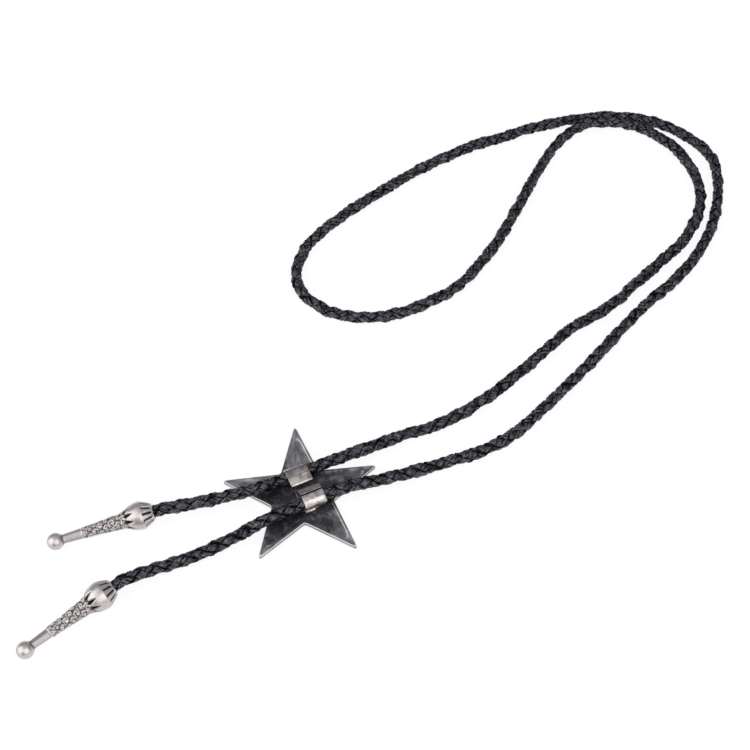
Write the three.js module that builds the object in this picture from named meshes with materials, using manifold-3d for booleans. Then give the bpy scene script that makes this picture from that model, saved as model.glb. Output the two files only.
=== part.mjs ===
// A bolo tie: one long round braided leather cord, both ends tipped in cast metal,
// with a star-shaped slide whose soldered clasp grips the two cords side by side.
//
// Millimetres, +Z up. The tie lies on a table with the star face down. The origin is the
// middle of the star's flat front facet, on the table; +Y runs from the star towards the
// neck end, and +Z comes out of the star's hollow back.

import * as THREE from 'three';
import * as BufferGeometryUtils from 'three/addons/utils/BufferGeometryUtils.js';
import Module from 'manifold-3d';

const wasm = await Module();
wasm.setup();

// ---------------------------------------------------------------- driving dimensions

const GAP = 0.3; // clearance between pieces that touch

const CORD_DIAMETER = 4.0;
const CORD_SIDES = 8;
const CORD_STEPS = 82;

const STAR = {
    points: 5,
    tipRadius: 29.9, // sharp corner, before it is blunted
    notchRadius: 11.8,
    tipBlunt: 0.5, // fillet radii of the outline
    notchFillet: 1.2,
    facetScale: 0.3, // flat middle facet, as a share of the outline
    edgeBottom: 1.35, // the outline wall stands between these heights
    edgeTop: 2.9,
    rimWidth: 0.9,
    floorInset: 1.3, // the rim's inner slope ends here, on the hollow's floor
    floorHeight: 2.4,
};

const CLASP = {
    plate: { x: [-9.6, 7.4], y: [-2.1, 6.0], z: [2.3, 2.85] },
    sheet: 0.5,
    cordHeight: 5.45,
    roundRadius: 2.85, // outside of the loop where it wraps the cord
    shoulderDrop: 0.65, // the top slopes down by this much towards the middle gap
    shoulderRadius: 0.7,
    creaseOffset: 1.7, // from the cord's middle to the crease where the slope starts
};

const ARC_STEPS = 10; // straight steps along each arc of a loop's section

// Each loop wraps one cord: `side` is the way its round side faces, `wall` its inner wall.
const LOOPS = [
    { side: -1, cordX: -7.1, wall: -1.6, y: [-3.0, 5.3] },
    { side: 1, cordX: 5.2, wall: 0.4, y: [-1.7, 6.4] },
];

// The two cast tips lie on their knob and their ball, mouth towards the star.
const TIPS = [
    { name: 'tip_upper', mouth: [-14.2, -50.9], ball: [-18.55, -86.05] },
    { name: 'tip_lower', mouth: [8.1, -73.55], ball: [16.85, -107.8] },
];
const TIP_LENGTH_TO_BALL = 35.4;
const BALL_RADIUS = 3.05;
const KNOB_RADIUS = 5.0;
const KNOB_PLACE = 4.7; // from the mouth to the knob's widest ring
const TABLE_CLEARANCE = 0.02;

// Distance from the mouth, and radius, along the cast tip up to its collar.
const TIP_PROFILE = [
    { at: 0.0, radius: 2.7 },
    { at: 0.5, radius: 3.1 },
    { at: 2.4, radius: 4.2 },
    { at: 4.2, radius: KNOB_RADIUS },
    { at: 5.2, radius: KNOB_RADIUS },
    { at: 7.7, radius: 4.1 },
    { at: 10.4, radius: 2.87 },
    { at: 12.0, radius: 2.7 },
    { at: 16.0, radius: 2.42 },
    { at: 20.0, radius: 2.06 },
    { at: 26.0, radius: 1.85 },
    { at: 32.0, radius: 1.45 },
];
const COLLAR_END_ANGLE = 0.52; // where the neck meets the ball, in radians from its pole
const BALL_STEPS = 9;
const TIP_SIDES = 24;

// The cord's route between its two ends, chosen by hand: it runs from the upper tip through
// the slide's first loop, round the neck in one long bight, and back through the second.
// Where the two strands meet at the neck, the inner one leans up on the outer.
const TABLE = CORD_DIAMETER / 2 + 0.1; // height of the cord's middle where it lies
const ROUTE = [
    [-11.5, -37.0, 5.0], [-7.2, -9.0, 5.4], [-7.1, 10.0, 5.35], [-8.0, 42.0, 2.4],
    [-7.0, 60.1, TABLE], [-10.3, 81.2, TABLE], [-24.9, 124.2, TABLE], [-29.3, 145.7, TABLE],
    [-37.1, 166.4, TABLE], [-46.4, 189.7, TABLE], [-63.8, 208.1, TABLE], [-88.0, 213.3, TABLE],
    [-109.4, 204.9, TABLE], [-119.4, 186.2, 3.1], [-117.8, 173.8, TABLE], [-112.3, 163.9, TABLE],
    [-104.5, 153.3, TABLE], [-71.5, 111.5, TABLE], [-61.5, 88.0, TABLE], [-61.7, 61.0, TABLE],
    [-72.3, 43.1, TABLE], [-90.0, 36.9, TABLE], [-106.5, 47.5, TABLE], [-122.5, 90.3, TABLE],
    [-128.9, 130.0, TABLE], [-128.4, 150.0, TABLE], [-127.4, 169.0, TABLE], [-119.0, 199.4, TABLE],
    [-103.5, 217.2, TABLE], [-81.0, 223.9, TABLE], [-57.0, 211.8, TABLE], [-39.7, 193.6, TABLE],
    [-30.8, 177.5, TABLE], [-19.5, 147.8, TABLE], [-8.4, 124.4, TABLE], [9.6, 76.2, TABLE],
    [8.2, 43.2, 2.4], [5.2, 13.0, 5.3], [5.8, -15.5, 5.35], [6.8, -29.0, 3.9],
    [7.0, -44.0, 2.3], [6.6, -60.0, 3.5],
];
const STRAIGHT_EXIT = 3.3; // the cord leaves a tip in line with it for this far

// ---------------------------------------------------------------- materials

const material = (color, roughness, metalness) =>
    new THREE.MeshStandardMaterial({ color, roughness, metalness });

const leather = material(0x26242a, 0.55, 0.0);
const pewter = material(0x6f6f73, 0.4, 0.9);
const silver = material(0x8f8b86, 0.35, 1.0);

// ---------------------------------------------------------------- helpers

// Keeps only positions and shares equal vertices, so that the surface is one closed skin.
function closedSkin(geometry) {
    const bare = geometry.index ? geometry.toNonIndexed() : geometry.clone();
    bare.deleteAttribute('normal');
    bare.deleteAttribute('uv');
    return BufferGeometryUtils.mergeVertices(bare, 1e-4);
}

function toSolid(geometry) {
    const skin = closedSkin(geometry);
    return new wasm.Manifold(new wasm.Mesh({
        numProp: 3,
        vertProperties: new Float32Array(skin.attributes.position.array),
        triVerts: new Uint32Array(skin.index.array),
    }));
}

function fromSolid(solid) {
    const mesh = solid.getMesh();
    const geometry = new THREE.BufferGeometry();
    geometry.setAttribute('position', new THREE.BufferAttribute(mesh.vertProperties, 3));
    geometry.setIndex(new THREE.BufferAttribute(mesh.triVerts, 1));
    geometry.computeVertexNormals();
    return geometry;
}

// Joins rings of equally many points into a closed skin, capped by a fan at each end.
function loft(rings) {
    const count = rings[0].length;
    const centre = (ring) => ring
        .reduce((sum, p) => sum.add(p), new THREE.Vector3())
        .divideScalar(count);
    const points = [...rings.flat(), centre(rings[0]), centre(rings.at(-1))];
    const first = points.length - 2;
    const last = points.length - 1;
    const top = (rings.length - 1) * count;
    const faces = [];
    for (let i = 0; i < count; i++) {
        const j = (i + 1) % count;
        faces.push(first, j, i, last, top + i, top + j);
        for (let r = 0; r + 1 < rings.length; r++) {
            const low = r * count;
            const high = low + count;
            faces.push(low + i, low + j, high + j, low + i, high + j, high + i);
        }
    }
    const geometry = new THREE.BufferGeometry().setFromPoints(points);
    geometry.setIndex(faces);
    return geometry;
}

// Extrudes an outline drawn in X and Z from one Y to another.
function extrudeAlongY(shape, [near, far]) {
    return new THREE.ExtrudeGeometry(shape, { depth: far - near, bevelEnabled: false })
        .rotateX(Math.PI / 2)
        .translate(0, far, 0);
}

function box({ x, y, z }) {
    return new THREE.BoxGeometry(x[1] - x[0], y[1] - y[0], z[1] - z[0])
        .translate((x[0] + x[1]) / 2, (y[0] + y[1]) / 2, (z[0] + z[1]) / 2);
}

// Replaces each sharp corner of a loop by three points of an arc that touches both edges.
function filleted(corners) {
    return corners.flatMap(({ point, fillet }, i) => {
        const before = corners.at(i - 1).point.clone().sub(point).normalize();
        const after = corners[(i + 1) % corners.length].point.clone().sub(point).normalize();
        const half = before.angleTo(after) / 2;
        const reach = fillet / Math.tan(half);
        const middle = fillet / Math.sin(half) - fillet;
        return [
            point.clone().addScaledVector(before, reach),
            point.clone().addScaledVector(before.clone().add(after).normalize(), middle),
            point.clone().addScaledVector(after, reach),
        ];
    });
}

// ---------------------------------------------------------------- the star

// How far a corner of the sharp star moves when both its edges move inwards by `inset`.
function cornerShift(inset, radius, otherRadius) {
    const turn = Math.PI / STAR.points;
    const across = otherRadius * Math.sin(turn);
    const along = radius - otherRadius * Math.cos(turn);
    return (inset * Math.hypot(across, along)) / across;
}

// The star's outline with every edge moved inwards by `inset`, at height `z`.
function starRing(z, inset = 0, scale = 1) {
    const tipRadius = STAR.tipRadius - cornerShift(inset, STAR.tipRadius, STAR.notchRadius);
    const notchRadius = STAR.notchRadius - cornerShift(inset, STAR.notchRadius, STAR.tipRadius);
    const corners = [];
    for (let k = 0; k < 2 * STAR.points; k++) {
        const angle = Math.PI / 2 + (k * Math.PI) / STAR.points;
        const isTip = k % 2 === 0;
        const radius = isTip ? tipRadius : notchRadius;
        corners.push({
            point: new THREE.Vector3(radius * Math.cos(angle), radius * Math.sin(angle), 0),
            fillet: isTip ? STAR.tipBlunt : STAR.notchFillet,
        });
    }
    return filleted(corners).map((p) => new THREE.Vector3(p.x * scale, p.y * scale, z));
}

// A low ridged front, a straight edge, and a hollow back inside a raised rim.
function starBody() {
    return loft([
        starRing(0, 0, STAR.facetScale),
        starRing(STAR.edgeBottom),
        starRing(STAR.edgeTop),
        starRing(STAR.edgeTop, STAR.rimWidth),
        starRing(STAR.floorHeight, STAR.floorInset),
    ]);
}

// ---------------------------------------------------------------- the clasp

// One loop's section, offset inwards by `inset`: round over the cord on one side, then a
// flat top that slopes to a rounded shoulder and a straight wall beside the middle gap.
function loopSection({ side, cordX, wall }, inset) {
    const radius = CLASP.roundRadius - inset;
    const shoulder = Math.max(CLASP.shoulderRadius - inset, 0.05);
    const innerX = wall + side * inset;
    const bottom = CLASP.cordHeight - radius;
    const top = CLASP.cordHeight + radius;
    const low = top - CLASP.shoulderDrop;
    const crease = cordX - side * CLASP.creaseOffset;
    const path = new THREE.Shape();
    path.moveTo(innerX, bottom);
    path.lineTo(innerX, low - shoulder);
    path.quadraticCurveTo(innerX, low, innerX + side * shoulder, low);
    path.lineTo(crease, top);
    path.lineTo(cordX, top);
    const start = Math.PI / 2;
    path.absarc(cordX, CLASP.cordHeight, radius, start, start - side * Math.PI, side > 0);
    const points = path.getPoints(ARC_STEPS);
    return new THREE.Shape(side > 0 ? points.reverse() : points); // always anticlockwise
}

function claspLoop(loop) {
    const section = loopSection(loop, 0);
    section.holes.push(loopSection(loop, CLASP.sheet));
    return extrudeAlongY(section, loop.y);
}

// The star with the clasp soldered to its back is one piece of metal.
function starSlide() {
    const pieces = [starBody(), box(CLASP.plate), ...LOOPS.map(claspLoop)];
    const solid = pieces.map(toSolid).reduce((whole, piece) => whole.add(piece));
    return new THREE.Mesh(fromSolid(solid), pewter);
}

// ---------------------------------------------------------------- the tips

// A tip's mouth and its direction, which slopes so that its knob and ball both lie flat.
function tipPlace({ mouth, ball }) {
    const knobHeight = KNOB_RADIUS + TABLE_CLEARANCE;
    const ballHeight = BALL_RADIUS + TABLE_CLEARANCE;
    const slope = (knobHeight - ballHeight) / (TIP_LENGTH_TO_BALL - KNOB_PLACE);
    const mouthHeight = knobHeight + slope * KNOB_PLACE;
    const start = new THREE.Vector3(...mouth, mouthHeight);
    const direction = new THREE.Vector3(...ball, ballHeight).sub(start).normalize();
    return { start, direction };
}

// A funnel mouth, a long tapering stem and a ball, turned on one axis.
function castTip(tip) {
    const profile = [new THREE.Vector2(0, 0)];
    for (const { at, radius } of TIP_PROFILE) {
        profile.push(new THREE.Vector2(radius, at));
    }
    for (let i = 0; i < BALL_STEPS; i++) {
        const angle = COLLAR_END_ANGLE + ((Math.PI - COLLAR_END_ANGLE) * i) / BALL_STEPS;
        const along = TIP_LENGTH_TO_BALL - BALL_RADIUS * Math.cos(angle);
        profile.push(new THREE.Vector2(BALL_RADIUS * Math.sin(angle), along));
    }
    profile.push(new THREE.Vector2(0, TIP_LENGTH_TO_BALL + BALL_RADIUS));
    const { start, direction } = tipPlace(tip);
    const mesh = new THREE.Mesh(new THREE.LatheGeometry(profile, TIP_SIDES), silver);
    mesh.position.copy(start);
    mesh.quaternion.setFromUnitVectors(new THREE.Vector3(0, 1, 0), direction);
    return mesh;
}

// ---------------------------------------------------------------- the cord

// The cord runs straight out of each tip, a small gap away from its mouth.
function cordEnd(tip) {
    const { start, direction } = tipPlace(tip);
    return [GAP, STRAIGHT_EXIT].map((reach) => start.clone().addScaledVector(direction, -reach));
}

function cord() {
    const [upper, lower] = TIPS;
    const curve = new THREE.CatmullRomCurve3([
        ...cordEnd(upper),
        ...ROUTE.map((point) => new THREE.Vector3(...point)),
        ...cordEnd(lower).reverse(),
    ]);
    curve.arcLengthDivisions = 2000;
    const section = [];
    for (let i = 0; i < CORD_SIDES; i++) {
        const angle = (i * 2 * Math.PI) / CORD_SIDES;
        section.push(new THREE.Vector2(Math.cos(angle), Math.sin(angle))
            .multiplyScalar(CORD_DIAMETER / 2));
    }
    return new THREE.Mesh(new THREE.ExtrudeGeometry(new THREE.Shape(section), {
        steps: CORD_STEPS,
        extrudePath: curve,
    }), leather);
}

// ---------------------------------------------------------------- the whole tie

const boloTie = new THREE.Group();

function add(name, mesh) {
    mesh.name = name;
    boloTie.add(mesh);
}

add('star_slide', starSlide());
TIPS.forEach((tip) => add(tip.name, castTip(tip)));
add('cord', cord());

export default boloTie;
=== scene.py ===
# %% [markdown]
# # A bolo tie, lying on a table
#
# A bolo tie is a necktie made of one long braided cord. Both ends are tipped in cast metal,
# and a slide grips the two cords side by side. Here the slide is a star, lying face down, so
# we look into its hollow back and at the clasp that is soldered to it.
#
# The CAD frame already holds every part at its true size. This lesson replaces each plain
# solid with a finely made one, in the same place, and gives it a material.

# %% Load the frame
import math
from bisect import bisect_right

import bmesh
import bpy
from mathutils import Matrix, Vector, noise


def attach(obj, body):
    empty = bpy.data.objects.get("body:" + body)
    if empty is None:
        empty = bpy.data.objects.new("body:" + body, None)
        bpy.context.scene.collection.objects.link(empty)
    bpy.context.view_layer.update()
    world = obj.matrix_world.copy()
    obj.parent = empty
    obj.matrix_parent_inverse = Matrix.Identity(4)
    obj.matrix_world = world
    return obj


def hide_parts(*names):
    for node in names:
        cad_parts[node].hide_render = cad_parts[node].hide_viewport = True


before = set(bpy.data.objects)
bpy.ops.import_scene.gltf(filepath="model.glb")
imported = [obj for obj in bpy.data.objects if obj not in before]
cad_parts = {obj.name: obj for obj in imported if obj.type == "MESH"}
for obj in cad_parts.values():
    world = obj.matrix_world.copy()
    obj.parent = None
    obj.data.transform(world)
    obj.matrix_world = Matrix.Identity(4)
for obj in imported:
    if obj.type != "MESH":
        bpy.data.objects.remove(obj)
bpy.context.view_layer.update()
MM = 0.001  # Blender works in metres here, and small parts are easier to read in millimetres

# %% [markdown]
# ## The camera
#
# The tie is seen from about 54 degrees above the table. A 70 mm lens from half a metre away
# is a usual choice for small goods, because it hardly exaggerates what is near. The camera
# looks at the middle of the tie and turns with its top edge up.

# %% Camera
CAMERA_PLACE = Vector((0.2564, -0.0900, 0.4531))
CAMERA_TARGET = Vector((-0.0386, 0.0468, 0.0))
LENS_MM = 70.09

camera = bpy.data.objects.new("studio_camera", bpy.data.cameras.new("studio_camera"))
camera.data.lens = LENS_MM
camera.data.sensor_width = 36.0
camera.data.clip_start = 0.01
camera.location = CAMERA_PLACE
camera.rotation_euler = (CAMERA_TARGET - CAMERA_PLACE).to_track_quat("-Z", "Y").to_euler()
bpy.context.collection.objects.link(camera)
bpy.context.scene.camera = camera
print("camera distance, m:", round((CAMERA_TARGET - CAMERA_PLACE).length, 3))

# %% [markdown]
# ## The cord's route
#
# The cord leaves the upper tip, runs through the slide, round the neck in one long bight,
# back through the slide and into the lower tip. A Catmull-Rom curve passes through every
# point it is given. Its centripetal form spaces the curve by the square root of each gap,
# so it doesn't overshoot where the points are unevenly spaced, and it suits a stiff cord.

# %% The two tips' places
KNOB_HEIGHT = 5.02 * MM  # a tip lies on its knob and its ball
BALL_HEIGHT = 3.07 * MM
TIP_LENGTH_TO_BALL = 35.4 * MM
KNOB_PLACE = 4.7 * MM
TIPS = {
    "tip_upper": {"mouth": (-0.01420, -0.05090), "ball": (-0.01855, -0.08605), "roll": 0.0},
    "tip_lower": {"mouth": (0.00810, -0.07355), "ball": (0.01685, -0.10780), "roll": 0.25},
}


def tip_place(tip):
    """The middle of a tip's mouth, and the way its axis points from there to the ball."""
    slope = (KNOB_HEIGHT - BALL_HEIGHT) / (TIP_LENGTH_TO_BALL - KNOB_PLACE)
    mouth = Vector((*tip["mouth"], KNOB_HEIGHT + slope * KNOB_PLACE))
    ball = Vector((*tip["ball"], BALL_HEIGHT))
    return mouth, (ball - mouth).normalized()


for name, tip in TIPS.items():
    mouth, axis = tip_place(tip)
    print(name, "mouth, mm:", [round(v / MM, 2) for v in mouth])

# %% The route's points, in metres
# Where the two strands meet at the neck, the inner one leans up on the outer.
TABLE = 0.0021  # height of the cord's middle where it lies on the table
ROUTE = [
    (-0.0115, -0.0370, 0.0050), (-0.0072, -0.0090, 0.0054), (-0.0071, 0.0100, 0.00535),
    (-0.0080, 0.0420, 0.0024), (-0.0070, 0.0601, TABLE), (-0.0103, 0.0812, TABLE),
    (-0.0249, 0.1242, TABLE), (-0.0293, 0.1457, TABLE), (-0.0371, 0.1664, TABLE),
    (-0.0464, 0.1897, TABLE), (-0.0638, 0.2081, TABLE), (-0.0880, 0.2133, TABLE),
    (-0.1094, 0.2049, TABLE), (-0.1194, 0.1862, 0.0031), (-0.1178, 0.1738, TABLE),
    (-0.1123, 0.1639, TABLE), (-0.1045, 0.1533, TABLE), (-0.0715, 0.1115, TABLE),
    (-0.0615, 0.0880, TABLE), (-0.0617, 0.0610, TABLE), (-0.0723, 0.0431, TABLE),
    (-0.0900, 0.0369, TABLE), (-0.1065, 0.0475, TABLE), (-0.1225, 0.0903, TABLE),
    (-0.1289, 0.1300, TABLE), (-0.1284, 0.1500, TABLE), (-0.1274, 0.1690, TABLE),
    (-0.1190, 0.1994, TABLE), (-0.1035, 0.2172, TABLE), (-0.0810, 0.2239, TABLE),
    (-0.0570, 0.2118, TABLE), (-0.0397, 0.1936, TABLE), (-0.0308, 0.1775, TABLE),
    (-0.0195, 0.1478, TABLE), (-0.0084, 0.1244, TABLE), (0.0096, 0.0762, TABLE),
    (0.0082, 0.0432, 0.0024), (0.0052, 0.0130, 0.0053), (0.0058, -0.0155, 0.00535),
    (0.0068, -0.0290, 0.0039), (0.0070, -0.0440, 0.0023), (0.0066, -0.0600, 0.0035),
]
STRAIGHT_EXIT = 3.3 * MM  # the cord leaves a tip in line with it for this far
INTO_TIP = 1.5 * MM  # and reaches this far inside its mouth


def cord_end(tip):
    mouth, axis = tip_place(tip)
    return [mouth + axis * INTO_TIP, mouth - axis * STRAIGHT_EXIT]


route = [
    *cord_end(TIPS["tip_upper"]),
    *map(Vector, ROUTE),
    *reversed(cord_end(TIPS["tip_lower"])),
]
print("route points:", len(route))

# %% The curve through them
SAMPLES_PER_POINT = 40


def catmull_rom(points):
    """Centripetal Catmull-Rom curve through the points, as many short straight steps."""
    before, after = 2 * points[0] - points[1], 2 * points[-1] - points[-2]
    p = [before, *points, after]
    curve = []
    for i in range(1, len(p) - 2):
        a, b, c = (math.sqrt((p[j + 1] - p[j]).length) for j in (i - 1, i, i + 1))
        leave = ((p[i] - p[i - 1]) / a - (p[i + 1] - p[i - 1]) / (a + b) + (p[i + 1] - p[i]) / b) * b
        arrive = ((p[i + 1] - p[i]) / b - (p[i + 2] - p[i]) / (b + c) + (p[i + 2] - p[i + 1]) / c) * b
        for k in range(SAMPLES_PER_POINT):
            t = k / SAMPLES_PER_POINT
            curve.append(
                (2 * t**3 - 3 * t**2 + 1) * p[i]
                + (t**3 - 2 * t**2 + t) * leave
                + (3 * t**2 - 2 * t**3) * p[i + 1]
                + (t**3 - t**2) * arrive
            )
    return [*curve, points[-1].copy()]


centreline = catmull_rom(route)
reached = [0.0]  # length along the curve at each of its points
for start, end in zip(centreline, centreline[1:]):
    reached.append(reached[-1] + (end - start).length)
cord_length = reached[-1]
print("cord length, mm:", round(cord_length / MM, 1))

# %% A frame that travels along the curve


def travelling_frame(distance):
    """Place, left, up and forward at a distance along the cord. The cord never stands upright."""
    i = min(max(bisect_right(reached, distance) - 1, 0), len(reached) - 2)
    share = (distance - reached[i]) / (reached[i + 1] - reached[i])
    before = centreline[i + 1] - centreline[max(i - 1, 0)]
    after = centreline[min(i + 2, len(centreline) - 1)] - centreline[i]
    forward = before.normalized().lerp(after.normalized(), share).normalized()
    left = Vector((0, 0, 1)).cross(forward).normalized()
    return centreline[i].lerp(centreline[i + 1], share), left, forward.cross(left), forward


print("halfway along, mm:", [round(v / MM, 1) for v in travelling_frame(cord_length / 2)[0]])

# %% [markdown]
# ## The braid
#
# Six narrow leather laces are plaited round each other: three run clockwise and three
# anticlockwise, and each goes over one lace and under the next. A lace could be a bevelled
# curve, but its section has to hug the cord's core and keep facing outwards, so we draw one
# bowed section out to the cord's length instead, and wind it into a helix. A wave in its
# radius then lifts it over the laces that cross it, and noise makes the plait as uneven as
# hands do. Last, the straight braid is laid along the route.

# %% A lace's section, drawn out straight
LACES_EACH_WAY = 3
TURN = 17.7 * MM  # one lace goes once round the cord in this length
STEPS_PER_TURN = 22
MIDDLE_RADIUS = 1.14 * MM  # mean distance of a lace's middle from the cord's axis
WEAVE_RISE = 0.54 * MM  # it swings this far outwards over, and inwards under, a crossing
LACE_HALF_WIDTH = 1.55 * MM
LACE_BOW = 2.2 * MM  # radius that a lace is bowed to across its width
LACE_OUTER = 0.7 * MM  # thickness outside and inside its middle line
LACE_INNER = 0.26 * MM
SECTION_POINTS = 10


def lace_section(bm, across):
    """A bowed strap, thickest in the middle. across runs from -1 at one edge to 1 at the other."""
    for vert in bmesh.ops.create_circle(bm, segments=SECTION_POINTS, radius=1)["verts"]:
        vert[across] = vert.co.x
        bow = LACE_BOW + (LACE_OUTER if vert.co.y > 0 else LACE_INNER) * vert.co.y
        turn = vert.co.x * LACE_HALF_WIDTH / LACE_BOW
        vert.co = (MIDDLE_RADIUS - LACE_BOW + bow * math.cos(turn), bow * math.sin(turn), 0)


def drawn_out(bm, step):
    """Draws the section in bm out to the cord's length, in equal steps of about this length."""
    drawn = bmesh.ops.extrude_edge_only(bm, edges=list(bm.edges))["geom"]
    far_end = [item for item in drawn if isinstance(item, bmesh.types.BMVert)]
    bmesh.ops.translate(bm, verts=far_end, vec=(0, 0, cord_length))
    lengthwise = [edge for edge in bm.edges if edge.calc_length() > cord_length / 2]
    steps = round(cord_length / step)
    bmesh.ops.subdivide_edges(bm, edges=lengthwise, cuts=steps - 1)
    for vert in bm.verts:  # so many cuts in a row add up their rounding, which this takes out
        vert.co.z = round(vert.co.z / cord_length * steps) / steps * cord_length
    ends = [edge for edge in bm.edges if edge.is_boundary]
    bmesh.ops.holes_fill(bm, edges=ends, sides=0)


print("a lace is", round(2 * LACE_HALF_WIDTH / MM, 1), "mm wide")

# %% What makes the plait uneven
# Each noise is read in a place of its own, so that no two of them are alike.
SWELL = 0.6 * MM  # noise of up to this makes the whole plait thicker or thinner
SWELL_LENGTH = 4 * MM
LACE_SWELL = 0.4 * MM  # and of up to this, each lace by itself
LACE_SWELL_LENGTH = 5 * MM
PUCKER = 0.07 * MM  # a lace is puckered where it was pulled tight
PUCKER_LENGTH = 2.4 * MM
WANDER = 0.14  # a lace strays round the cord by up to this, in radians
WANDER_LENGTH = 7 * MM
CLASP_GRIP = 14 * MM  # the clasp presses the plait even this far from the star's middle
GRIP_FADE = 8 * MM


def looseness(distance):
    """0 where the clasp or a tip grips the plait, and 1 where nothing presses it even."""
    past_clasp = travelling_frame(distance)[0].length - CLASP_GRIP
    past_metal = min(past_clasp, distance, cord_length - distance)
    return min(max(past_metal / GRIP_FADE, 0.0), 1.0)


print("looseness halfway along:", looseness(cord_length / 2))

# %% One lace, wound round a straight axis


def wound_lace(hand, start_angle, seed):
    """hand is 1 for a lace that turns anticlockwise as it goes forward, and -1 for the other way."""
    bm = bmesh.new()
    along = bm.verts.layers.float.new("along")
    across = bm.verts.layers.float.new("across")
    raised = bm.verts.layers.float.new("raised")
    lace_section(bm, across)
    drawn_out(bm, TURN / STEPS_PER_TURN)
    for vert in bm.verts:
        distance = vert.co.z
        offset = math.atan2(vert.co.y, vert.co.x)
        vert[along] = distance
        helix = hand * distance / TURN * math.tau
        slow = noise.noise((distance / LACE_SWELL_LENGTH, seed, 0))
        puckers = noise.noise((distance / PUCKER_LENGTH, 1.5 * offset, seed + 20))
        radius = math.hypot(vert.co.x, vert.co.y) + LACE_SWELL * slow + PUCKER * puckers
        radius += hand * WEAVE_RISE * math.cos(LACES_EACH_WAY * (helix + offset / 2))
        # how far a lace stands out; the leather paints shade where this is low
        vert[raised] = (radius - MIDDLE_RADIUS) / (WEAVE_RISE + LACE_OUTER)
        stray = WANDER * noise.noise((distance / WANDER_LENGTH, seed, 9))
        angle = start_angle + helix + offset + stray
        here = Vector((radius * math.cos(angle), radius * math.sin(angle), distance))
        radius += SWELL * looseness(distance) * noise.noise(here / SWELL_LENGTH)
        vert.co.x, vert.co.y = radius * math.cos(angle), radius * math.sin(angle)
    return bm


# %% Lay the straight braid along the route
TWIST = math.radians(70)  # the cord turns about itself by up to this, either way
TWIST_LENGTH = 80 * MM


def lay_along_route(bm):
    """Bends a straight strand along the route, and twists it a little about itself."""
    for vert in bm.verts:
        place, left, up, _ = travelling_frame(vert.co.z)
        turn = TWIST * noise.noise((vert.co.z / TWIST_LENGTH, 0, 5))
        x = vert.co.x * math.cos(turn) - vert.co.y * math.sin(turn)
        y = vert.co.x * math.sin(turn) + vert.co.y * math.cos(turn)
        vert.co = place + left * x + up * y
        vert.co.z = max(vert.co.z, 0.0)  # the lowest humps are pressed flat against the table


# %% From a bmesh to a piece


def pour(source, target):
    """Adds everything in one bmesh to another, and frees the first."""
    mesh = bpy.data.meshes.new("poured")
    source.to_mesh(mesh)
    source.free()
    target.from_mesh(mesh)
    bpy.data.meshes.remove(mesh)


def finished(name, bm):
    """Turns a bmesh into a smooth piece that rides on the tie, its faces pointing outwards."""
    bmesh.ops.recalc_face_normals(bm, faces=bm.faces)
    mesh = bpy.data.meshes.new(name)
    bm.to_mesh(mesh)
    bm.free()
    for face in mesh.polygons:
        face.use_smooth = True
    piece = bpy.data.objects.new(name, mesh)
    bpy.context.collection.objects.link(piece)
    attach(piece, "root")
    triangles = sum(len(face.vertices) - 2 for face in mesh.polygons)
    print(name, "triangles:", triangles)
    return piece


# %% Plait the laces into the cord
CORE_RADIUS = 1.1 * MM  # a thin core fills the middle, or light would show at the crossings
CORE_SIDES = 8
CORE_STEP = 2 * MM

strands = [
    wound_lace(hand, k * math.tau / LACES_EACH_WAY, 3 * k + hand)
    for k in range(LACES_EACH_WAY)
    for hand in (1, -1)
]
core = bmesh.new()
bmesh.ops.create_circle(core, segments=CORE_SIDES, radius=CORE_RADIUS)
drawn_out(core, CORE_STEP)
strands.append(core)

braid = bmesh.new()
for strand in strands:
    lay_along_route(strand)
    pour(strand, braid)
braided_cord = finished("braided_cord", braid)
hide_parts("cord")

# %% [markdown]
# ## Materials: the tools
#
# Every material below is built from nodes. One small function adds a node with its settings
# and links, and another turns a colour's usual sRGB code into the linear numbers that the
# renderer works in. A pattern's size is given in millimetres of the real surface.

# %% Node tools


def linear(code):
    """An sRGB hex colour such as "26242a" as linear RGBA."""
    values = [int(code[i : i + 2], 16) / 255 for i in (0, 2, 4)]
    return (*[v / 12.92 if v <= 0.04045 else ((v + 0.055) / 1.055) ** 2.4 for v in values], 1.0)


def per_metre(size_mm):
    """The scale that makes one feature of a pattern this many millimetres wide."""
    return 1 / (size_mm * MM)


def connect(material, output, target):
    material.node_tree.links.new(output, target)


def add_node(material, kind, inputs=None, **settings):
    """Adds a node. An input is given a value, or the socket that feeds it."""
    node = material.node_tree.nodes.new("ShaderNode" + kind)
    for setting, value in settings.items():
        setattr(node, setting, value)
    for socket, value in (inputs or {}).items():
        if isinstance(value, bpy.types.NodeSocket):
            connect(material, value, node.inputs[socket])
        else:
            node.inputs[socket].default_value = value
    return node


def new_material(name):
    material = bpy.data.materials.new(name)
    material.use_nodes = True
    shader = material.node_tree.nodes["Principled BSDF"]
    return material, shader


# %% [markdown]
# ## Waxed braiding leather
#
# Braiding lace is cut from vegetable-tanned leather, dyed through and waxed. Black dye leaves
# a violet-brown cast. The wax gives a soft, satin gloss that is broken by the grain and by
# faint streaks along each lace, where it was pulled through the plait.

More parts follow.
